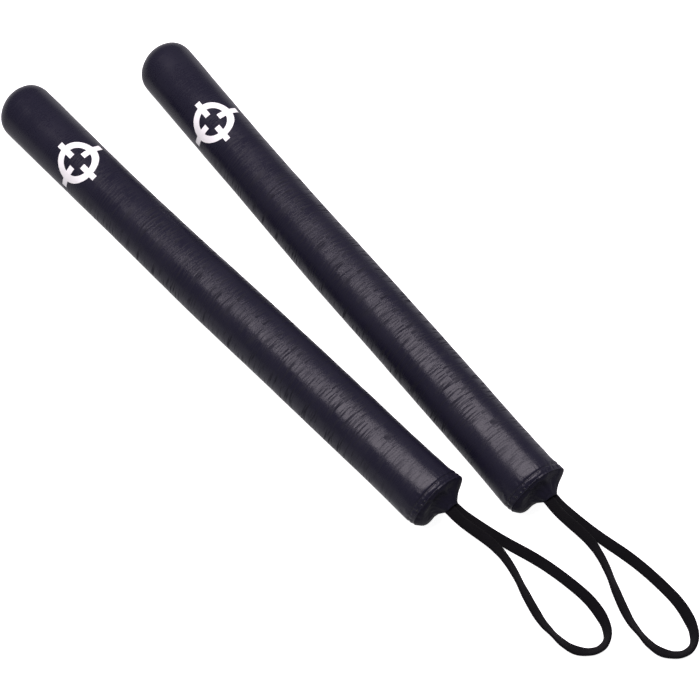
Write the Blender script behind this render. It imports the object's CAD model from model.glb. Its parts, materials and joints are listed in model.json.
import bpy, bmesh, json, math
from mathutils import Matrix, Quaternion, Vector, noise
from mathutils.bvhtree import BVHTree


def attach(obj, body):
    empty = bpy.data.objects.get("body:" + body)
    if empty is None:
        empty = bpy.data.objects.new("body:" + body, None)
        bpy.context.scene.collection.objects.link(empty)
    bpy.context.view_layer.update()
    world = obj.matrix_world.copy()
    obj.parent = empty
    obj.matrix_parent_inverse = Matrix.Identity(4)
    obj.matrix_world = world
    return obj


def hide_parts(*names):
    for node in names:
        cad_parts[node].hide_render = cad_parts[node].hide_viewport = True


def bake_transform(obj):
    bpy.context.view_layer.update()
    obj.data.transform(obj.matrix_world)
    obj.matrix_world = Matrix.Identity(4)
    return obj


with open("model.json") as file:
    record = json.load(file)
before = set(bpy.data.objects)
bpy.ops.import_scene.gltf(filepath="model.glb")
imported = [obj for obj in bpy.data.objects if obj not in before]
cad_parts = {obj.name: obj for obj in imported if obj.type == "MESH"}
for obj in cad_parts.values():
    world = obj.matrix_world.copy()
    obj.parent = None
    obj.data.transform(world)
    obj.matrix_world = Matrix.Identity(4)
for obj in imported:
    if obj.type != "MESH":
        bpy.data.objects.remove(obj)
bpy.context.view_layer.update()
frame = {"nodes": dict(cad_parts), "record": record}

sticks = ("a", "b")

# Every piece is made in a stick's own frame, in metres: X runs from the rim seam to the tip,
# Y is to the left and Z is up from the ground. Then it is laid where the stick lies.
body = {
    "radius": 0.029,
    "length": 0.596,        # rim seam to the end of the tip
    "mountReach": 0.2925,   # rim seam to the middle of the plain round body
    "tip": 0.023,
    "shoulder": 0.019,
}
axisHeight = body["radius"]
bodyShape = [  # distance from the rim seam, girth as a share of the plain radius, drift to the left
    (-0.010, 1.022, 0.0000), (0.000, 1.022, 0.0000), (0.060, 1.017, 0.0000), (0.200, 1.019, 0.0003),
    (0.290, 1.013, 0.0011), (0.350, 0.990, 0.0013), (0.410, 0.970, 0.0010), (0.480, 0.972, 0.0003),
    (0.550, 0.989, -0.0008), (0.596, 0.992, -0.0014), (0.610, 0.992, -0.0016)]


def stickPlace(stick):
    mount = next(m for m in frame["record"]["mounts"] if m["name"] == "padded_body_" + stick)
    along = Vector(mount["axis"])
    up = Vector((0, 0, 1))
    rim = Vector(mount["pos_m"]) - along * body["mountReach"]
    place = Matrix((along, up.cross(along), up)).transposed().to_4x4()
    place.translation = (rim.x, rim.y, 0)
    return place


places = {stick: stickPlace(stick) for stick in sticks}


def smoothRow(table, x):
    # The other columns of a table at x, on a smooth line through its rows; one spare row at each end
    row = 1
    while row < len(table) - 3 and table[row + 1][0] < x:
        row += 1
    before, start, end, after = table[row - 1:row + 3]
    gap = end[0] - start[0]
    part = min(max((x - start[0]) / gap, 0.0), 1.0)
    found = []
    for first, low, high, last in zip(before[1:], start[1:], end[1:], after[1:]):
        slopeIn = (high - first) / (end[0] - before[0]) * gap
        slopeOut = (last - low) / (after[0] - start[0]) * gap
        found.append(low + part * (slopeIn + part * (3 * (high - low) - 2 * slopeIn - slopeOut
                                                     + part * (slopeIn + slopeOut - 2 * (high - low)))))
    return found


def newPiece(name, points, faces):
    mesh = bpy.data.meshes.new(name)
    mesh.from_pydata(points, [], faces)
    piece = bpy.data.objects.new(name, mesh)
    bpy.context.scene.collection.objects.link(piece)
    return piece


def copyPiece(piece, name):
    twin = piece.copy()
    twin.data = piece.data.copy()
    twin.name = twin.data.name = name
    bpy.context.scene.collection.objects.link(twin)
    return twin


def pickOnly(piece):
    bpy.ops.object.select_all(action="DESELECT")
    piece.select_set(True)
    bpy.context.view_layer.objects.active = piece


def ringFaces(rings, around, closed=False):
    # Four-sided faces between rings of points, and between the last and first ring if closed
    faces = []
    for ring in range(rings if closed else rings - 1):
        nextRing = (ring + 1) % rings
        for side in range(around):
            following = (side + 1) % around
            faces.append((ring * around + side, ring * around + following,
                          nextRing * around + following, nextRing * around + side))
    return faces


def faceOutwards(piece):
    pickOnly(piece)
    bpy.ops.object.mode_set(mode="EDIT")
    bpy.ops.mesh.select_all(action="SELECT")
    bpy.ops.mesh.normals_make_consistent(inside=False)
    bpy.ops.object.mode_set(mode="OBJECT")


def ringPiece(name, rings, closed=False):
    points = [point for ring in rings for point in ring]
    return newPiece(name, points, ringFaces(len(rings), len(rings[0]), closed))


def discard(piece):
    bpy.data.objects.remove(piece, do_unlink=True)


def smoothUpTo(degrees):
    bpy.ops.object.shade_smooth_by_angle(angle=math.radians(degrees))


def modify(piece, kind, **settings):
    # Adds a modifier, sets it up and applies it
    pickOnly(piece)
    made = piece.modifiers.new(kind.title(), kind)
    for name, value in settings.items():
        setattr(made, name, value)
    bpy.ops.object.modifier_apply(modifier=made.name)


def layOnSticks(piece, name, slot, *nodes):
    # One finished piece for each stick, riding on it in place of its CAD nodes
    made = []
    for stick in sticks:
        twin = copyPiece(piece, name + "_" + stick)
        twin.data.transform(places[stick])
        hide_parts(*[node + "_" + stick for node in nodes])
        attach(twin, "stick_" + stick)
        made.append(twin)
    discard(piece)
    return made


def addNode(tree, kind, values=None, links=None, **settings):
    made = tree.nodes.new(kind)
    for name, value in settings.items():
        setattr(made, name, value)
    for name, value in (values or {}).items():
        made.inputs[name].default_value = value
    for name, source in (links or {}).items():
        tree.links.new(source, made.inputs[name])
    return made


def newGroup(name, inputs, outputs):
    group = bpy.data.node_groups.new(name, "ShaderNodeTree")
    for label, kind, value in inputs:
        socket = group.interface.new_socket(label, in_out="INPUT", socket_type=kind)
        if value is not None:
            socket.default_value = value
    for label, kind in outputs:
        group.interface.new_socket(label, in_out="OUTPUT", socket_type=kind)
    return group, group.nodes.new("NodeGroupInput").outputs, group.nodes.new("NodeGroupOutput").inputs


def calculate(tree, operation, first, second):
    made = tree.nodes.new("ShaderNodeMath")
    made.operation = operation
    for socket, value in zip(made.inputs, (first, second)):
        if isinstance(value, (int, float)):
            socket.default_value = value
        else:
            tree.links.new(value, socket)
    return made.outputs[0]


def spread(tree, source, low, high, fromLow=0.3, fromHigh=0.7):
    # A grey value that follows a mask between two limits
    limits = {"From Min": fromLow, "From Max": fromHigh, "To Min": low, "To Max": high}
    return addNode(tree, "ShaderNodeMapRange", limits, {"Value": source}).outputs[0]


def spreadMask(tree, source):
    return spread(tree, source, 0.0, 1.0)


def scaled(tree, vector, scale):
    return addNode(tree, "ShaderNodeMapping", {"Scale": scale}, {"Vector": vector}).outputs[0]


def tint(tree, mask, dark, light):
    # Mixes two colours, each a value or a socket
    made = tree.nodes.new("ShaderNodeMix")
    made.data_type = "RGBA"
    tree.links.new(mask, made.inputs["Factor"])
    for socket, colour in ((made.inputs[6], dark), (made.inputs[7], light)):
        if isinstance(colour, tuple):
            socket.default_value = colour
        else:
            tree.links.new(colour, socket)
    return made.outputs[2]


# Camera, floor and light
view = {"position": (-0.7418, 0.5515, 1.7308), "aim": (0.33797, -0.29149, -0.89517), "lens": 105.0}
studio = {
    "sky": 0.20,
    "floorSize": 16,
    "floorHeight": -0.0003,
    "floorSeen": (0.86, 0.86, 0.86, 1),
    "floorReflected": (0.17, 0.17, 0.19, 1),
    "floorGlow": (0.42, 0.90),   # on the sticks, and to the camera
    "lamps": {  # name: place, what it looks at, turn in degrees, size along and across, watts
        "KeyPanel": ((0.15, -0.22, 2.0), (0.15, -0.22, 0.0), -9, (1.1, 2.8), 64.0),
    },
    "lampColour": (1.0, 0.91, 0.98),
}


def makeStudio():
    scene = bpy.context.scene
    scene.view_settings.view_transform = "Standard"
    world = bpy.data.worlds.new("StudioSky")
    world.use_nodes = True
    world.node_tree.nodes["Background"].inputs["Color"].default_value = (1, 1, 1, 1)
    world.node_tree.nodes["Background"].inputs["Strength"].default_value = studio["sky"]
    scene.world = world

    bpy.ops.object.camera_add(location=view["position"])
    camera = bpy.context.object
    camera.rotation_euler = Vector(view["aim"]).to_track_quat("-Z", "Y").to_euler()
    camera.data.lens = view["lens"]
    camera.data.clip_end = 50
    scene.camera = camera

    bpy.ops.mesh.primitive_plane_add(size=studio["floorSize"], location=(0, 0, studio["floorHeight"]))
    floor = bpy.context.object
    floor.name = "StudioFloor"
    paint = bpy.data.materials.new("FloorPaint")
    paint.use_nodes = True
    tree = paint.node_tree
    shader = tree.nodes["Principled BSDF"]
    seen = addNode(tree, "ShaderNodeLightPath").outputs["Is Camera Ray"]
    colour = tint(tree, seen, studio["floorReflected"], studio["floorSeen"])
    tree.links.new(colour, shader.inputs["Base Color"])
    shader.inputs["Roughness"].default_value = 0.9
    shader.inputs["Specular IOR Level"].default_value = 0.1
    shader.inputs["Emission Color"].default_value = (1, 1, 1, 1)
    hidden, shown = studio["floorGlow"]
    glow = calculate(tree, "ADD", calculate(tree, "MULTIPLY", seen, shown - hidden), hidden)
    tree.links.new(glow, shader.inputs["Emission Strength"])
    floor.data.materials.append(paint)

    for name, (place, aim, turn, size, watts) in studio["lamps"].items():
        bpy.ops.object.light_add(type="AREA", location=place)
        lamp = bpy.context.object
        lamp.name = name
        lamp.data.shape = "RECTANGLE"
        lamp.data.size, lamp.data.size_y = size
        lamp.data.energy = watts
        lamp.data.color = studio["lampColour"]
        facing = (Vector(aim) - Vector(place)).to_track_quat("-Z", "Y")
        lamp.rotation_euler = (Quaternion((0, 0, 1), math.radians(turn)) @ facing).to_euler()


makeStudio()
print("studio ready")


def makePebbleGroup():
    # Fine pebbled grain of synthetic leather: rounded cells broken up by noise
    group, given, out = newGroup("PebbleGrain", [
        ("Vector", "NodeSocketVector", None), ("Scale", "NodeSocketFloat", 1100.0),
        ("Roundness", "NodeSocketFloat", 0.7)], [("Height", "NodeSocketFloat")])
    cells = addNode(group, "ShaderNodeTexVoronoi", {"Randomness": 1.0},
                    {"Vector": given["Vector"], "Scale": given["Scale"]}, feature="F1")
    fineScale = calculate(group, "MULTIPLY", given["Scale"], 0.45)
    broken = addNode(group, "ShaderNodeTexNoise", {"Detail": 4.0, "Roughness": 0.6},
                     {"Vector": given["Vector"], "Scale": fineScale})
    rounded = calculate(group, "MULTIPLY", cells.outputs["Distance"], given["Roundness"])
    raised = calculate(group, "SUBTRACT", broken.outputs["Fac"], rounded)
    group.links.new(raised, out["Height"])
    return group


def makeStretchGroup():
    # Short creases that run round the stick, where the leather is pulled lengthwise over the foam
    group, given, out = newGroup("StretchLines", [
        ("Vector", "NodeSocketVector", None), ("Pitch", "NodeSocketFloat", 0.0019),
        ("Length", "NodeSocketFloat", 0.024)], [("Height", "NodeSocketFloat"), ("Mask", "NodeSocketFloat")])
    stretched = group.nodes.new("ShaderNodeCombineXYZ")
    group.links.new(calculate(group, "DIVIDE", 1.0, given["Pitch"]), stretched.inputs["X"])
    group.links.new(calculate(group, "DIVIDE", 1.0, given["Length"]), stretched.inputs["Y"])
    place = addNode(group, "ShaderNodeMapping", None,
                    {"Vector": given["Vector"], "Scale": stretched.outputs[0]}).outputs[0]
    fine = addNode(group, "ShaderNodeTexNoise", {"Scale": 1.0, "Detail": 2.0, "Roughness": 0.5},
                   {"Vector": place})
    sharp = spread(group, fine.outputs["Fac"], 0.0, 1.0, 0.36, 0.50)
    broad = addNode(group, "ShaderNodeTexNoise", {"Scale": 0.45, "Detail": 2.0}, {"Vector": place})
    patches = addNode(group, "ShaderNodeTexNoise", {"Scale": 60.0, "Detail": 2.0},
                      {"Vector": given["Vector"]})
    patch = spread(group, patches.outputs["Fac"], 0.55, 1.0, 0.36, 0.60)
    # Fewer creases near the tip and near the rim
    along = addNode(group, "ShaderNodeSeparateXYZ", None, {"Vector": given["Vector"]}).outputs["X"]
    atTip = spread(group, along, 0.10, 1.0, 0.52, 0.38)
    atRim = spread(group, along, 0.30, 1.0, 0.015, 0.10)
    mask = calculate(group, "MULTIPLY", calculate(group, "MULTIPLY", patch, atTip), atRim)
    both = calculate(group, "ADD", calculate(group, "MULTIPLY", sharp, 0.55), broad.outputs["Fac"])
    lines = calculate(group, "SUBTRACT", 1.0, sharp)
    group.links.new(calculate(group, "MULTIPLY", both, mask), out["Height"])
    group.links.new(calculate(group, "MULTIPLY", lines, mask), out["Mask"])
    return group


def makeWeaveGroup():
    # Plain woven tape: warp cords along it crossed by finer weft, from a map in metres
    group, given, out = newGroup("TapeWeave", [
        ("Vector", "NodeSocketVector", None), ("Pitch", "NodeSocketFloat", 0.0009)],
        [("Height", "NodeSocketFloat")])
    chart = addNode(group, "ShaderNodeSeparateXYZ", None, {"Vector": given["Vector"]}).outputs
    turns = calculate(group, "DIVIDE", math.pi, given["Pitch"])
    weft = calculate(group, "SINE", calculate(group, "MULTIPLY", chart["X"], turns), 0.0)
    warp = calculate(group, "SINE", calculate(group, "MULTIPLY", chart["Y"], turns), 0.0)
    checks = calculate(group, "MULTIPLY", weft, warp)
    cords = calculate(group, "ABSOLUTE", warp, 0.0)
    fibre = addNode(group, "ShaderNodeTexNoise", {"Scale": 1.0, "Detail": 3.0},
                    {"Vector": scaled(group, given["Vector"], (2600, 5200, 1))})
    relief = calculate(group, "ADD", calculate(group, "MULTIPLY", checks, 0.45),
                       calculate(group, "MULTIPLY", cords, 0.55))
    height = calculate(group, "ADD", relief, calculate(group, "MULTIPLY", fibre.outputs["Fac"], 0.5))
    group.links.new(height, out["Height"])
    return group


def makeHandlingGroup():
    # Broad uneven patches from handling
    group, given, out = newGroup("HandlingMarks", [
        ("Vector", "NodeSocketVector", None), ("Scale", "NodeSocketFloat", 22.0)],
        [("Patches", "NodeSocketFloat")])
    patches = addNode(group, "ShaderNodeTexNoise", {"Detail": 5.0, "Roughness": 0.6},
                      {"Vector": given["Vector"], "Scale": given["Scale"]})
    group.links.new(patches.outputs["Fac"], out["Patches"])
    return group


pebble = makePebbleGroup()
stretch = makeStretchGroup()
weave = makeWeaveGroup()
handling = makeHandlingGroup()


def newMaterial(name, **sockets):
    material = bpy.data.materials.new(name)
    material.use_nodes = True
    shader = material.node_tree.nodes["Principled BSDF"]
    for label, value in sockets.items():
        shader.inputs[label.replace("_", " ")].default_value = value
    return material, material.node_tree, shader


def useGroup(tree, group, vector, **values):
    made = tree.nodes.new("ShaderNodeGroup")
    made.node_tree = group
    tree.links.new(vector, made.inputs["Vector"])
    for label, value in values.items():
        made.inputs[label].default_value = value
    return made.outputs


def roughen(tree, shader, depth, height, normal=None):
    # A bump on a material, over the one before it if there is one
    links = {"Height": height}
    if normal:
        links["Normal"] = normal
    bump = addNode(tree, "ShaderNodeBump", {"Strength": 1.0, "Distance": depth}, links).outputs[0]
    tree.links.new(bump, shader.inputs["Normal"])
    return bump


leather = {
    "dark": (0.0106, 0.0098, 0.0208, 1),
    "light": (0.0134, 0.0124, 0.0246, 1),
    "crease": (0.0060, 0.0056, 0.0128, 1),
    "roughness": (0.20, 0.34),
    "creaseRoughness": 0.80,
    "grainScale": 1250.0,
    "grainDepth": 0.00005,
    "lineDepth": 0.00016,
    "patchScale": 26.0,
}


def makeLeather(name, tone, lineDepth, shine, dulled):
    # The tone darkens the leather's three colours, and dulled is added to its roughness
    dark, light, crease = [tuple(part * tone for part in leather[key][:3]) + (1,)
                           for key in ("dark", "light", "crease")]
    material, tree, shader = newMaterial(name, Specular_IOR_Level=shine)
    spot = addNode(tree, "ShaderNodeTexCoord").outputs
    chart = addNode(tree, "ShaderNodeUVMap", uv_map="LeatherMap").outputs[0]
    marks = useGroup(tree, handling, spot["Object"], Scale=leather["patchScale"])
    grain = useGroup(tree, pebble, spot["Object"], Scale=leather["grainScale"])
    lines = useGroup(tree, stretch, chart)
    faded = tint(tree, spreadMask(tree, marks["Patches"]), dark, light)
    tree.links.new(tint(tree, lines["Mask"], faded, crease), shader.inputs["Base Color"])
    half = calculate(tree, "MULTIPLY", grain["Height"], 0.5)
    speckled = calculate(tree, "ADD", marks["Patches"], half)
    shiny, dull = leather["roughness"]
    smooth = spread(tree, speckled, shiny + dulled, dull + dulled, 0.35, 0.75)
    rough = addNode(tree, "ShaderNodeMapRange", {"To Max": leather["creaseRoughness"]},
                    {"Value": lines["Mask"], "To Min": smooth}).outputs[0]
    tree.links.new(rough, shader.inputs["Roughness"])
    grained = roughen(tree, shader, leather["grainDepth"], grain["Height"])
    roughen(tree, shader, lineDepth, lines["Height"], grained)
    return material


webbing = {
    "dark": (0.0016, 0.0014, 0.0024, 1),
    "light": (0.0050, 0.0044, 0.0064, 1),
    "pitch": 0.00105,
    "depth": 0.00022,
}


def makeWebbing():
    material, tree, shader = newMaterial("BlackWebbing", Roughness=0.9, Specular_IOR_Level=0.12,
                                         Sheen_Weight=0.05, Sheen_Roughness=0.5)
    chart = addNode(tree, "ShaderNodeUVMap", uv_map="TapeMap").outputs[0]
    spot = addNode(tree, "ShaderNodeTexCoord").outputs
    cloth = useGroup(tree, weave, chart, Pitch=webbing["pitch"])
    marks = useGroup(tree, handling, spot["Object"], Scale=60.0)
    shade = calculate(tree, "MULTIPLY", cloth["Height"], spreadMask(tree, marks["Patches"]))
    tree.links.new(tint(tree, shade, webbing["dark"], webbing["light"]), shader.inputs["Base Color"])
    roughen(tree, shader, webbing["depth"], cloth["Height"])
    return material


def makePlain(name, dark, light, rough, scale, depth, patches=40.0, **sockets):
    # Printed, moulded, foamed or drawn materials: two greys, a range of roughness, and a grain
    material, tree, shader = newMaterial(name, **sockets)
    spot = addNode(tree, "ShaderNodeTexCoord").outputs
    marks = useGroup(tree, handling, spot["Object"], Scale=patches)
    grain = useGroup(tree, pebble, spot["Object"], Scale=scale)
    colour = tint(tree, spreadMask(tree, marks["Patches"]), (*dark, 1), (*light, 1))
    tree.links.new(colour, shader.inputs["Base Color"])
    tree.links.new(spread(tree, marks["Patches"], *rough), shader.inputs["Roughness"])
    roughen(tree, shader, depth, grain["Height"])
    return material


bodyLeather = makeLeather("BodyLeather", 1.0, leather["lineDepth"], 0.25, 0.0)
capLeather = makeLeather("CapLeather", 0.75, leather["lineDepth"] * 0.4, 0.11, 0.20)
blackWebbing = makeWebbing()
whitePrint = makePlain("WhitePrint", (0.90, 0.90, 0.90), (0.95, 0.95, 0.95), (0.42, 0.6), 1250.0, 0.00005,
                       patches=90.0, Specular_IOR_Level=0.4)
innerFinishes = {
    "soft_foam": makePlain("SoftFoam", (0.05, 0.05, 0.055), (0.08, 0.08, 0.085),
                           (0.85, 0.95), 900.0, 0.0003),
    "dense_foam": makePlain("DenseFoam", (0.12, 0.12, 0.125), (0.17, 0.17, 0.175),
                            (0.8, 0.9), 1600.0, 0.0001),
    "pvc": makePlain("PipePlastic", (0.74, 0.74, 0.71), (0.83, 0.83, 0.80),
                     (0.25, 0.38), 300.0, 0.00002),
    "plug_plastic": makePlain("PlugPlastic", (0.02, 0.02, 0.02), (0.04, 0.04, 0.04),
                              (0.45, 0.6), 1800.0, 0.00003),
    "pin_steel": makePlain("PinSteel", (0.42, 0.42, 0.43), (0.56, 0.56, 0.57),
                           (0.25, 0.4), 2400.0, 0.00001, Metallic=1.0),
    "thread": makePlain("BlackThread", (0.008, 0.008, 0.009), (0.02, 0.02, 0.022),
                        (0.6, 0.75), 5200.0, 0.00005),
}
for row in frame["record"]["subparts"]:
    finish = innerFinishes.get(row["material_slot"])
    if finish:
        carried = frame["nodes"][row["node"]]
        carried.data.materials.clear()
        carried.data.materials.append(finish)
print("materials ready")


# Wrist straps: flat webbing that follows the same route as the CAD tube
strap = {
    "width": 0.0107,
    "thickness": 0.0026,
    "ringGap": 0.0006,
    "floorGap": 0.0002,
    "fullness": 0.92,         # of the tape's round edges
    "pick": 0.012,            # how much each weft thread widens it
    "lift": (0.014, 0.040),   # how far from the rim seam the strap starts and ends bending when it lifts
}
# Reach out from the rim seam, left, up, and the lean of the webbing in degrees (inner edge up)
strapRoute = [
    (0.0100, -0.0026, 0.0310, 0),
    (0.0162, -0.0028, 0.0312, 0),
    (0.0230, -0.0031, 0.0282, 0),
    (0.0305, -0.0053, 0.0222, 0),
    (0.0390, -0.0088, 0.0156, 0),
    (0.0485, -0.0121, 0.0104, -4),
    (0.0595, -0.0146, 0.0066, -14),
    (0.0710, -0.0147, 0.0042, -30),
    (0.0840, -0.0122, 0.0042, -37),
    (0.0970, -0.0080, 0.0046, -44),
    (0.1120, -0.0026, 0.0039, -32),
    (0.1270, 0.0023, 0.0038, -29),
    (0.1410, 0.0062, 0.0043, -37),
    (0.1540, 0.0069, 0.0048, -47),
    (0.1670, 0.0068, 0.0042, -36),
    (0.1790, 0.0035, 0.0035, -25),
    (0.1891, -0.0044, 0.0044, -38),
    (0.1940, -0.0144, 0.0048, -47),
    (0.1917, -0.0252, 0.0052, -58),
    (0.1817, -0.0334, 0.0046, -48),
    (0.1676, -0.0382, 0.0032, -22),
    (0.1520, -0.0405, 0.0025, -8),
    (0.1350, -0.0396, 0.0024, -5),
    (0.1180, -0.0378, 0.0024, -4),
    (0.1020, -0.0352, 0.0024, -7),
    (0.0870, -0.0316, 0.0025, -14),
    (0.0730, -0.0274, 0.0028, -12),
    (0.0605, -0.0240, 0.0035, -4),
    (0.0495, -0.0205, 0.0065, 0),
    (0.0395, -0.0168, 0.0114, 0),
    (0.0310, -0.0131, 0.0176, 0),
    (0.0236, -0.0096, 0.0242, 0),
    (0.0162, -0.0080, 0.0282, 0),
    (0.0100, -0.0078, 0.0280, 0),
]


def smoothLine(points):
    # Points along the NURBS spline that has these as its control points
    curve = bpy.data.curves.new("StrapLine", "CURVE")
    curve.dimensions = "3D"
    spline = curve.splines.new("NURBS")
    spline.points.add(len(points) - 1)
    for knot, point in zip(spline.points, points):
        knot.co = (*point, 1)
    spline.order_u = 3
    spline.use_endpoint_u = True
    spline.resolution_u = 24
    line = bpy.data.objects.new("StrapLine", curve)
    bpy.context.scene.collection.objects.link(line)
    bpy.context.view_layer.update()
    mesh = bpy.data.meshes.new_from_object(line)
    found = [vertex.co.copy() for vertex in mesh.vertices]
    discard(line)
    bpy.data.meshes.remove(mesh)
    return found


def evenly(points, gap):
    # The same line with its points evenly spaced, each with its share of the way along the spline
    lengths = [0.0]
    for before, after in zip(points, points[1:]):
        lengths.append(lengths[-1] + (after - before).length)
    count = round(lengths[-1] / gap)
    found = []
    at = 0
    for number in range(count + 1):
        wanted = lengths[-1] * number / count
        while at < len(points) - 2 and lengths[at + 1] < wanted:
            at += 1
        share = (wanted - lengths[at]) / (lengths[at + 1] - lengths[at])
        found.append((points[at].lerp(points[at + 1], share), (at + share) / (len(points) - 1), wanted))
    return found


def leanAt(share):
    place = share * (len(strapRoute) - 1)
    before = min(int(place), len(strapRoute) - 2)
    part = place - before
    part = part * part * (3 - 2 * part)
    return math.radians(strapRoute[before][3] * (1 - part) + strapRoute[before + 1][3] * part)


def tapeSection():
    # Half-round edges on a flat tape, as (across, up), going round once
    halfWidth = strap["width"] / 2
    halfThick = strap["thickness"] / 2
    edge = []
    for number in range(5):
        turn = math.pi * (number / 4 - 0.5)
        edge.append((halfWidth - halfThick + math.cos(turn) * halfThick,
                     math.sin(turn) * halfThick * strap["fullness"]))
    flat = [(halfWidth * share, halfThick) for share in (0.5, 0.0, -0.5)]
    left = [(-across, -up) for across, up in edge]
    return edge + flat + left + [(-across, -up) for across, up in flat]


def makeTape(name, line, leans):
    # Webbing along a line, turned about it by the lean, and never below the ground
    section = tapeSection()
    around = len(section)
    points = []
    for number, (centre, share, reached) in enumerate(line):
        before = line[max(number - 1, 0)][0]
        after = line[min(number + 1, len(line) - 1)][0]
        heading = (after - before).normalized()
        inward = Vector((0, 0, 1)).cross(heading).normalized()
        upward = heading.cross(inward)
        lean = leans(share)
        wide = inward * math.cos(lean) + upward * math.sin(lean)
        thick = heading.cross(wide)
        woven = 1 + strap["pick"] * math.sin(reached * math.pi / webbing["pitch"])
        ring = [centre + wide * across * woven + thick * up for across, up in section]
        lowest = min(point.z for point in ring)
        raised = Vector((0, 0, max(0.0, strap["floorGap"] - lowest)))
        points += [point + raised for point in ring]
    faces = ringFaces(len(line), around)
    faces.append(tuple(range(around - 1, -1, -1)))
    faces.append(tuple(range((len(line) - 1) * around, len(line) * around)))
    tape = newPiece(name, points, faces)
    chart = tape.data.uv_layers.new(name="TapeMap")
    girth = [0.0]
    for (across, up), (nextAcross, nextUp) in zip(section, section[1:] + section[:1]):
        girth.append(girth[-1] + math.hypot(nextAcross - across, nextUp - up))
    for face in tape.data.polygons:
        wraps = any(vertex % around == around - 1 for vertex in face.vertices)
        for corner, vertex in zip(face.loop_indices, face.vertices):
            ring, side = divmod(vertex, around)
            chart.data[corner].uv = (line[ring][2], girth[around if wraps and side == 0 else side])
    tape.data.materials.append(blackWebbing)
    faceOutwards(tape)
    smoothUpTo(50)
    return tape


def makeStraps():
    route = [Vector((-reach, left, up)) for reach, left, up, lean in strapRoute]
    line = evenly(smoothLine(route), strap["ringGap"])
    tape = makeTape("StrapTape", line, leanAt)
    for stick in sticks:
        place = places[stick]
        loop = copyPiece(tape, "wrist_strap_" + stick)
        loop.data.transform(place)
        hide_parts("strap_loop_" + stick)
        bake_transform(loop)
    discard(tape)


makeStraps()


# The leather sleeve of the padded body
cover = {
    "around": 192,
    "fineGap": 0.0005,
    "coarseGap": 0.0030,
    "wall": 0.0011,
    "puckers": 0.00030,
    "earReach": 0.0090,     # over which the rim's ears fade into the body
    "seamAngle": 205.0,     # the lengthwise seam, in degrees from the top towards the left
    "seamDepth": 0.0006,
    "seamHalfWidth": 0.0007,
    "dents": 0.00025,
    "tipSkew": 0.0012,
    "looseUpTo": 0.030,     # settled by the simulation this far from the rim
    "fadeOver": 0.022,
    "excess": 0.014,
    "pressure": 0.25,
    "furthest": 0.00038,
}
hem = [  # the cover's edge: distance from the rim seam, and how far it lies inside the plain radius
    (0.0000, 0.0024), (0.0005, 0.0021), (0.0010, 0.0018), (0.0020, 0.0013), (0.0032, 0.0009),
    (0.0042, 0.0007), (0.0049, 0.0009), (0.0054, 0.00115), (0.0059, 0.0009), (0.0068, 0.0005),
    (0.0090, 0.00025), (0.0130, 0.0001), (0.0200, 0.0), (0.0300, 0.0)]
stitches = {"count": 58, "length": 0.0023, "thickness": 0.0005, "at": 0.0054,
            "proud": 0.00005, "lowest": 0.001}
rimEars = [  # angle from the top towards the left, half width in degrees, how far out and how far back
    (-72.0, 19.0, 0.0035, 0.0014),
    (-98.0, 24.0, 0.0012, 0.0003),
    (92.0, 26.0, 0.0008, 0.0),
    (40.0, 34.0, -0.0014, 0.0004),
]


def polar(angle):
    # Unit vector away from the stick's axis; 0 is up, positive is towards the left
    return Vector((0, math.sin(angle), math.cos(angle)))


def apart(first, second):
    return (first - second + math.pi) % (2 * math.pi) - math.pi


def rimEar(angle):
    out = back = 0.0
    for degrees, width, earOut, earBack in rimEars:
        gap = apart(angle, math.radians(degrees)) / math.radians(width)
        share = math.exp(-gap * gap)
        out += earOut * share
        back += earBack * share
    return out, back


def puckerAt(x, angle):
    # Small gathers that cross the hem, uneven round the stick
    first = noise.noise(Vector((math.cos(angle) * 9, math.sin(angle) * 9, x * 90 + 3)))
    second = noise.noise(Vector((math.cos(angle) * 17, math.sin(angle) * 17, x * 140 + 9)))
    return first + 0.7 * second


def bodyPoint(x, radius, angle, inset=0.0):
    length = body["length"]
    girth, drift = smoothRow(bodyShape, x)
    out, back = rimEar(angle)
    nearRim = math.exp(-max(x, 0) / cover["earReach"])
    gathered = cover["puckers"] * puckerAt(x, angle) * math.exp(-((x - 0.0045) / 0.0075) ** 2)
    seam = apart(angle, math.radians(cover["seamAngle"])) * body["radius"]
    valley = cover["seamDepth"] * math.exp(-(seam / cover["seamHalfWidth"]) ** 2)
    valley *= min(1.0, max(0.0, (length - x) / 0.02))
    place = Vector((x, 0, 0)) + polar(angle) * 0.05
    dent = cover["dents"] * (noise.noise(place * 22) + 0.5 * noise.noise(place * 61))
    dent *= min(1.0, radius / 0.02)
    skew = cover["tipSkew"] * math.sin(angle) * radius / body["radius"]
    skew *= min(1.0, max(0.0, (x - 0.56) / 0.03))
    reach = radius * girth + out * nearRim + gathered - valley + dent - inset
    point = Vector((x - back * nearRim - skew, drift, axisHeight)) + polar(angle) * reach
    point.z = max(point.z, inset)
    return point


def bodyLine():
    # The body's side from the rim to the tip as (x, radius), close together near the rim
    radius, length, shoulder, tip = body["radius"], body["length"], body["shoulder"], body["tip"]
    line = []
    x = 0.0002
    gap = cover["fineGap"]
    while x < length - tip:
        line.append((x, radius - (smoothRow(hem, x)[0] if x < 0.02 else 0.0)))
        x += gap
        gap = cover["fineGap"] if x < 0.014 else min(cover["coarseGap"], gap * 1.06)
    offset = radius - shoulder
    nose = (tip ** 2 + offset ** 2 - shoulder ** 2) / (2 * (tip - shoulder))
    meeting = math.atan2(offset, nose - tip)
    steps = 14
    for step in range(steps + 1):
        turn = step / steps * (math.pi / 2 - meeting)
        line.append((length - tip + shoulder * math.sin(turn), offset + shoulder * math.cos(turn)))
    for step in range(1, steps):
        turn = meeting * (1 - step / steps)
        line.append((length - nose + nose * math.cos(turn), nose * math.sin(turn)))
    return line


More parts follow.
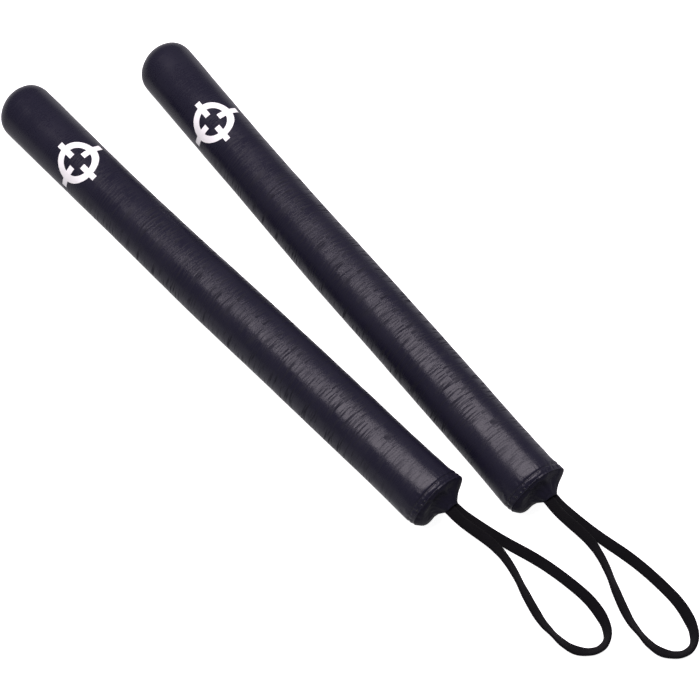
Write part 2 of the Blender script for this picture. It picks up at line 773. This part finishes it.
def chartLeather(piece, runs, around):
    # Map in metres: along the profile, and round the stick
    chart = piece.data.uv_layers.new(name="LeatherMap")
    for face in piece.data.polygons:
        sides = [index % around for index in face.vertices]
        wraps = max(sides) - min(sides) > around / 2
        for corner, index in zip(face.loop_indices, face.vertices):
            ring, side = divmod(index, around)
            if wraps and side < around / 2:
                side += around
            chart.data[corner].uv = (runs[ring], side / around * 2 * math.pi * body["radius"])


sewing = {"scale": 20.0, "frames": 22, "quality": 7, "mass": 0.3, "tension": 12.0, "bending": 6.0,
          "damping": 2.0, "loose": 0.03}   # loose: how firmly the leather between the seams is held


def settleLeather(rings, sewn, growth, pressure, limitAt):
    # Cloth simulation of leather that is cut a little larger than the shape under it: it is held at its
    # sewn rings and puckers between them. It runs at a larger size, where cloth behaves better.
    around = len(rings[0])
    scale = sewing["scale"]
    cloth = ringPiece("SewnLeather", [[point * scale for point in ring] for ring in rings])
    held = cloth.vertex_groups.new(name="Held")
    for number in range(len(rings)):
        firmness = 1.0 if number in sewn else sewing["loose"]
        held.add(list(range(number * around, (number + 1) * around)), firmness, "REPLACE")
    faceOutwards(cloth)
    sheet = cloth.modifiers.new("Leather", "CLOTH")
    sheet.point_cache.frame_start = 1
    sheet.point_cache.frame_end = sewing["frames"]
    settings = sheet.settings
    settings.quality = sewing["quality"]
    settings.mass = sewing["mass"]
    settings.tension_stiffness = settings.compression_stiffness = sewing["tension"]
    settings.shear_stiffness = sewing["tension"] * 0.5
    settings.bending_stiffness = sewing["bending"]
    settings.air_damping = sewing["damping"]
    settings.vertex_group_mass = "Held"
    settings.shrink_min = -growth
    settings.use_pressure = True
    settings.uniform_pressure_force = pressure
    settings.effector_weights.gravity = 0
    sheet.collision_settings.use_collision = False
    for step in range(sewing["frames"]):
        bpy.context.scene.frame_set(step + 1)
    bpy.ops.object.modifier_apply(modifier="Leather")
    bpy.context.scene.frame_set(1)
    settled = []
    moves = []
    for number, ring in enumerate(rings):
        settled.append([])
        for side, start in enumerate(ring):
            move = cloth.data.vertices[number * around + side].co / scale - start
            moves.append(move.length)
            if move.length > limitAt(number):
                move *= limitAt(number) / move.length
            point = start + move
            point.z = max(point.z, 0.0)
            settled[-1].append(point)
    mean = sum(moves) / len(moves)
    print("leather settled, moved up to %.2f mm, mean %.2f mm" % (max(moves) * 1000, mean * 1000))
    discard(cloth)
    return settled


def giveWall(piece, wall):
    # Outward faces, then a wall on the inside
    faceOutwards(piece)
    modify(piece, "SOLIDIFY", thickness=wall, offset=-1)
    smoothUpTo(60)


def makeCover():
    line = bodyLine()
    around = cover["around"]
    angles = [2 * math.pi * side / around for side in range(around)]
    rings = [[bodyPoint(x, radius, angle) for angle in angles] for x, radius in line]
    loose = sum(1 for x, radius in line if x < cover["looseUpTo"])
    stitched = min(range(loose), key=lambda number: abs(line[number][0] - stitches["at"]))

    def limitAt(number):
        return cover["furthest"] * min(1.0, (cover["looseUpTo"] - line[number][0]) / cover["fadeOver"])

    rings[:loose] = settleLeather(rings[:loose], (0, stitched, loose - 1), cover["excess"],
                                  cover["pressure"], limitAt)
    points = [point for ring in rings for point in ring]
    points.append(Vector((body["length"], smoothRow(bodyShape, body["length"])[1], axisHeight)))
    last = (len(line) - 1) * around
    faces = ringFaces(len(line), around)
    faces += [(last + side, last + (side + 1) % around, len(points) - 1) for side in range(around)]
    piece = newPiece("CoverSleeve", points, faces)
    runs = [0.0]
    for (x, radius), (nextX, nextRadius) in zip(line, line[1:]):
        runs.append(runs[-1] + math.hypot(nextX - x, nextRadius - radius))
    runs.append(runs[-1] + line[-1][1])
    chartLeather(piece, runs, around)
    giveWall(piece, cover["wall"])
    piece.data.materials.append(bodyLeather)
    for made in layOnSticks(piece, "leather_cover", "leather", "cover"):
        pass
    print("covers ready")


makeCover()


# Foam under the cover
foam = {
    "around": 72,
    "step": 0.008,
    "inset": 0.0013,
    "bore": 0.0190,
    "start": 0.016,
    "end": 0.560,
    "recess": 0.01335,     # radius of the pipe's end in the tip pad
    "flange": 0.564,
    "smallest": 0.003,     # radius where the tip pad's nose is closed with one face
}


def makeFoam():
    around = foam["around"]
    start, end = foam["start"], foam["end"]
    count = round((end - start) / foam["step"])
    angles = [2 * math.pi * side / around for side in range(around)]

    def plainRing(x, radius):
        return [Vector((0, 0, axisHeight)) + Vector((x, 0, 0)) + polar(angle) * radius for angle in angles]

    stations = [start + (end - start) * number / count for number in range(count + 1)]
    rings = [[bodyPoint(x, body["radius"], angle, foam["inset"]) for angle in angles] for x in stations]
    rings += [plainRing(end, foam["bore"]), plainRing(start, foam["bore"])]
    sleeve = ringPiece("FoamSleeve", rings, closed=True)
    rings = [plainRing(foam["flange"], 0.0002), plainRing(foam["flange"], foam["recess"])]
    rings += [plainRing(end, foam["recess"]), plainRing(end, foam["bore"])]
    for x, radius in bodyLine():
        if x > end and radius > foam["smallest"]:
            inwards = max(x - foam["inset"], end)
            rings.append([bodyPoint(inwards, radius, angle, foam["inset"]) for angle in angles])
    tip = ringPiece("FoamTip", rings)
    for piece, name, node in ((sleeve, "foam_sleeve", "outer_foam"), (tip, "foam_tip", "tip_foam")):
        pickOnly(piece)
        bpy.ops.object.mode_set(mode="EDIT")
        bpy.ops.mesh.select_mode(type="EDGE")
        bpy.ops.mesh.select_all(action="DESELECT")
        bpy.ops.mesh.select_non_manifold()
        bpy.ops.mesh.fill_holes(sides=0)
        bpy.ops.object.mode_set(mode="OBJECT")
        faceOutwards(piece)
        smoothUpTo(40)
        piece.data.materials.append(innerFinishes["soft_foam"])
        for made in layOnSticks(piece, name, "soft_foam", node):
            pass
    print("foam ready")


makeFoam()


# End caps, drawn out to the strap's mouth
cap = {
    "around": 192,
    "rings": 52,
    "mouth": (-0.0140, -0.0060, 0.0298),   # centre of the strap's exit
    "mouthHalf": (0.0070, 0.0044),
    "mouthTilt": 31.0,
    "rimGap": 0.0004,
    "rimInset": 0.0019,
    "gathers": 0.00045,
    "wall": 0.0011,
    "excess": 0.020,
    "pressure": 0.3,
    "furthest": 0.0009,
    "depth": 0.029,                         # of the leather, along its map
    "lobe": (105.0, 40.0, 0.0042),          # angle, half width, and how far the soft corner bulges
    "lobeEnds": 0.62,                       # share of the way to the mouth
    "hollow": (30.0, 55.0, 0.0030),         # angle, half width and depth of the hollow above the strap
}
capShape = [  # share of the way from the rim to the mouth: share inwards, and share outwards
    (-0.08, -0.04, 0.00), (0.00, 0.000, 0.00), (0.03, 0.035, -0.02), (0.06, 0.060, 0.03),
    (0.12, 0.110, 0.10), (0.25, 0.240, 0.20), (0.40, 0.410, 0.31), (0.55, 0.580, 0.44),
    (0.70, 0.740, 0.60), (0.82, 0.870, 0.76), (0.92, 0.960, 0.90), (1.00, 1.000, 1.00),
    (1.08, 1.020, 1.10)]
capLip = [  # how far the lip at the mouth lies inside it, and its share of the mouth's width
    (-0.0003, 0.97), (-0.0001, 0.91), (0.0006, 0.87), (0.0018, 0.85), (0.0036, 0.84)]


def bump(angle, spot):
    # A soft rise or fall at one place round the rim
    degrees, width, size = spot
    gap = apart(angle, math.radians(degrees)) / math.radians(width)
    return size * math.exp(-gap * gap)


def mouthPoint(angle, grow, x):
    tilt = math.radians(cap["mouthTilt"])
    wide, tall = cap["mouthHalf"]
    y, z = wide * grow * math.sin(angle + tilt), tall * grow * math.cos(angle + tilt)
    return Vector((x, cap["mouth"][1] + y * math.cos(tilt) - z * math.sin(tilt),
                   cap["mouth"][2] + y * math.sin(tilt) + z * math.cos(tilt)))


def capPoint(share, angle):
    out, back = rimEar(angle)
    inward, outward = smoothRow(capShape, share)
    girth, drift = smoothRow(bodyShape, 0.0)
    rim = polar(angle) * (body["radius"] * girth - cap["rimInset"] + out)
    start = Vector((-cap["rimGap"] - back, 0, axisHeight)) + rim
    end = mouthPoint(angle, 1.0, cap["mouth"][0])
    point = start.lerp(end, inward)
    point.x = start.x + (end.x - start.x) * outward
    corner = math.sin(math.pi * (share / cap["lobeEnds"])) if share < cap["lobeEnds"] else 0.0
    point.x -= bump(angle, cap["lobe"]) * corner
    middle = math.sin(math.pi * min(max((share - 0.15) / 0.75, 0.0), 1.0)) ** 2
    point.x += bump(angle, cap["hollow"]) * middle
    # Folds that spread from the mouth, and small puckers at the seam
    fold = noise.noise(Vector((math.cos(angle) * 2.6, math.sin(angle) * 2.6, share * 1.3)))
    fold += 0.6 * noise.noise(Vector((math.cos(angle) * 5.5, math.sin(angle) * 5.5, share * 1.6 + 4)))
    gather = cap["gathers"] * 2.2 * fold * math.sin(math.pi * min(1.0, share)) ** 0.8
    gather *= 0.35 + 0.65 * share
    small = cap["gathers"] * 0.20 * puckerAt(share * 0.02, angle)
    small *= math.exp(-((share - 0.06) / 0.10) ** 2)
    point.x -= gather + small
    point += polar(angle) * (0.35 * gather)
    point.z = max(point.z, 0.0)
    return point


pad = {
    "grid": 0.0012,
    "gap": 0.0022,      # from the leather
    "upTo": 0.002,      # pressed this far along the stick
    "heart": (0.03, 0.0, 0.029),   # a point well inside the stick
}


def pressIn(spot, leatherTree):
    # Moves a point of the pad in under the leather if it is outside it or too near
    near, normal, number, gap = leatherTree.find_nearest(spot)
    outwards = normal if normal.dot(near - Vector(pad["heart"])) > 0 else -normal
    if (spot - near).dot(outwards) > 0 or gap < pad["gap"]:
        return near - outwards * pad["gap"]
    return spot


def makePad(sheet):
    # The foam pad behind the cap: the CAD pad, pressed in wherever the leather over it is drawn in
    node = frame["nodes"]["butt_foam_a"]
    home = places["a"].inverted() @ node.matrix_world
    piece = newPiece("FoamPad", [home @ corner.co for corner in node.data.vertices],
                     [tuple(face.vertices) for face in node.data.polygons])
    modify(piece, "REMESH", mode="VOXEL", voxel_size=pad["grid"])
    leatherTree = BVHTree.FromPolygons([corner.co.copy() for corner in sheet.data.vertices],
                                       [tuple(face.vertices) for face in sheet.data.polygons])
    for corner in piece.data.vertices:
        if corner.co.x < pad["upTo"]:
            corner.co = pressIn(corner.co.copy(), leatherTree)
    smoothUpTo(50)
    piece.data.materials.clear()
    piece.data.materials.append(innerFinishes["soft_foam"])
    for made in layOnSticks(piece, "foam_pad", "soft_foam", "butt_foam"):
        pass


def makeCap():
    around = cap["around"]
    count = cap["rings"]
    angles = [2 * math.pi * side / around for side in range(around)]
    rings = [[capPoint(ring / count, angle) for angle in angles] for ring in range(count + 1)]
    rings = settleLeather(rings, (0, count), cap["excess"], cap["pressure"], lambda number: cap["furthest"])
    for depth, grow in capLip:
        rings.append([mouthPoint(angle, grow, cap["mouth"][0] + depth) for angle in angles])
    piece = ringPiece("CapLeather", rings)
    chartLeather(piece, [cap["depth"] * ring / count for ring in range(len(rings))], around)
    faceOutwards(piece)
    makePad(piece)
    giveWall(piece, cap["wall"])
    piece.data.materials.append(capLeather)
    for made in layOnSticks(piece, "leather_cap", "leather", "butt_cap"):
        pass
    print("caps ready")


makeCap()


# Rim seam: a narrow folded ridge, and the row of stitches in the groove beside it
ridge = {
    "around": 192,
    "halfWidth": 0.0008,
    "height": 0.0015,
    "foot": 0.0014,
    "inset": 0.0017,
    "uneven": 0.00016,
    "wander": 0.0003,
    "lowSpot": (100.0, 45.0, 0.75),   # angle, half width, and how fast the ridge gets lower there
}


def makeRidge():
    around = ridge["around"]
    section = []
    for number in range(9):
        turn = math.pi * number / 8
        section.append((math.cos(turn) * ridge["halfWidth"], math.sin(turn) * ridge["height"]))
    section += [(-ridge["halfWidth"] * 0.8, -ridge["foot"]), (ridge["halfWidth"] * 0.8, -ridge["foot"])]
    girth, drift = smoothRow(bodyShape, 0.0)
    base = body["radius"] * girth - ridge["inset"]
    rings = []
    for x, rise in section:
        ring = []
        for side in range(around):
            angle = 2 * math.pi * side / around
            out, back = rimEar(angle)
            uneven = 0.0
            if rise > 0:
                # The ridge runs out past the low spot, on the way round from the top
                uneven = ridge["uneven"] * puckerAt(0.0, angle)
                rise *= 1 - bump(angle, ridge["lowSpot"])
            point = Vector((x - back, drift, axisHeight)) + polar(angle) * (base + out + rise + uneven)
            point.x += ridge["wander"] * noise.noise(polar(angle) * 7)
            point.z = max(point.z, 0.0)
            ring.append(point)
        rings.append(ring)
    piece = ringPiece("SeamRidge", rings, closed=True)
    chartLeather(piece, [0.0006 * number for number in range(len(rings))], around)
    faceOutwards(piece)
    smoothUpTo(50)
    piece.data.materials.append(bodyLeather)
    for made in layOnSticks(piece, "seam_ridge", "leather", "rim_welt"):
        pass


def makeStitches():
    # One stitch, laid round the stick except where the stick rests on the ground
    thickness = stitches["thickness"]
    bpy.ops.mesh.primitive_cylinder_add(vertices=8, radius=thickness / 2, depth=stitches["length"])
    stitch = bpy.context.object
    bpy.ops.object.mode_set(mode="EDIT")
    bpy.ops.mesh.select_all(action="SELECT")
    bpy.ops.mesh.bevel(offset=thickness * 0.28, segments=2, affect="EDGES")
    bpy.ops.object.mode_set(mode="OBJECT")
    radius = body["radius"] - smoothRow(hem, stitches["at"])[0]
    copies = []
    for number in range(stitches["count"]):
        angle = 2 * math.pi * (number + 0.5) / stitches["count"]
        spot = bodyPoint(stitches["at"], radius, angle) + polar(angle) * stitches["proud"]
        if spot.z < stitches["lowest"]:
            continue
        forward = Vector((0.12, math.cos(angle), -math.sin(angle)))
        turned = forward.to_track_quat("Z", "X").to_matrix().to_4x4()
        twin = copyPiece(stitch, "Stitch")
        twin.data.transform(Matrix.Translation(spot) @ turned)
        copies.append(twin)
    discard(stitch)
    pickOnly(copies[0])
    for twin in copies:
        twin.select_set(True)
    bpy.ops.object.join()
    smoothUpTo(40)
    row = bpy.context.object
    row.name = "StitchRow"
    row.data.materials.append(innerFinishes["thread"])
    layOnSticks(row, "rim_stitches", "thread", "rim_thread")


makeRidge()
makeStitches()
print("rim seams ready")


# The strap's ends, inside the stick: two layers of the same webbing held by the cross pin
strapEnds = {
    "layerGap": 0.0025,
    "ringGap": 0.0016,
    "pin": 0.0300,
    "pinHole": 0.0022,
    "end": 0.0380,
}


def makeStrapEnds():
    # Each layer carries on from one end of the strap's route
    layers = []
    for (reach, left, up, lean), side in ((strapRoute[0], 1), (strapRoute[-1], -1)):
        inside = axisHeight + side * strapEnds["layerGap"] / 2
        route = [Vector((-reach, left, up)), Vector((-0.0020, left * 0.7, up)),
                 Vector((0.0070, left * 0.15, inside)), Vector((0.0180, 0, inside)),
                 Vector((strapEnds["end"], 0, inside))]
        line = evenly(smoothLine(route), strapEnds["ringGap"])
        layers.append(makeTape("StrapLayer", line, lambda share: 0.0))
    for layer in layers:
        bpy.ops.mesh.primitive_cylinder_add(vertices=24, radius=strapEnds["pinHole"], depth=0.02,
                                            location=(strapEnds["pin"], 0, axisHeight))
        drill = bpy.context.object
        modify(layer, "BOOLEAN", object=drill, operation="DIFFERENCE")
        discard(drill)
    pickOnly(layers[0])
    layers[1].select_set(True)
    bpy.ops.object.join()
    layOnSticks(layers[0], "strap_ends", "webbing", "strap_tail")


makeStrapEnds()
print("strap ends ready")


# Printed marks: a ring crossed by four ticks
mark = {
    "at": 0.481,           # its middle, from the rim seam
    "lean": 17.5,          # degrees from the top towards the left
    "film": 0.00015,
    "ringOuter": 0.0210,
    "ringInner": 0.0145,
    "tickInner": 0.0075,
    "tickOuter": 0.0260,
    "tickWidth": 0.0060,
    "cuts": 28,            # across the drawing in each direction, so that it bends
    "reach": 0.027,
}


def makeMark():
    # Cut from a thick plate, of which only the top face stays, then pressed round the body
    height = 0.01
    bpy.ops.mesh.primitive_cylinder_add(vertices=128, radius=mark["ringOuter"], depth=height)
    drawing = bpy.context.object
    tools = []
    bpy.ops.mesh.primitive_cylinder_add(vertices=128, radius=mark["ringInner"], depth=height * 2)
    tools.append((bpy.context.object, "DIFFERENCE"))
    middle = (mark["tickInner"] + mark["tickOuter"]) / 2
    for number in range(4):
        turn = math.pi / 2 * number
        spot = (middle * math.cos(turn), middle * math.sin(turn), 0)
        size = (mark["tickOuter"] - mark["tickInner"], mark["tickWidth"], height)
        bpy.ops.mesh.primitive_cube_add(size=1, location=spot, rotation=(0, 0, turn), scale=size)
        tools.append((bpy.context.object, "UNION"))
    for tool, operation in tools:
        modify(drawing, "BOOLEAN", object=tool, operation=operation)
        discard(tool)
    outline = bmesh.new()
    outline.from_mesh(drawing.data)
    gone = [face for face in outline.faces if face.normal.z < 0.9]
    bmesh.ops.delete(outline, geom=gone, context="FACES")
    bmesh.ops.triangulate(outline, faces=outline.faces[:])
    for number in range(mark["cuts"]):
        place = -mark["reach"] + 2 * mark["reach"] * number / (mark["cuts"] - 1)
        for normal in ((1, 0, 0), (0, 1, 0)):
            everything = outline.verts[:] + outline.edges[:] + outline.faces[:]
            bmesh.ops.bisect_plane(outline, geom=everything, plane_co=(place, place, 0), plane_no=normal)
    bmesh.ops.remove_doubles(outline, verts=outline.verts, dist=1e-5)
    lean = math.radians(mark["lean"])
    for vertex in outline.verts:
        x = mark["at"] + vertex.co.x
        angle = lean + math.asin(max(-1, min(1, vertex.co.y / body["radius"])))
        vertex.co = bodyPoint(x, body["radius"], angle) + polar(angle) * mark["film"]
    outline.to_mesh(drawing.data)
    outline.free()
    modify(drawing, "SOLIDIFY", thickness=mark["film"], offset=-1)
    smoothUpTo(40)
    drawing.data.materials.clear()
    drawing.data.materials.append(whitePrint)
    layOnSticks(drawing, "printed_mark_film", "print", "printed_mark")
    print("marks ready")


makeMark()
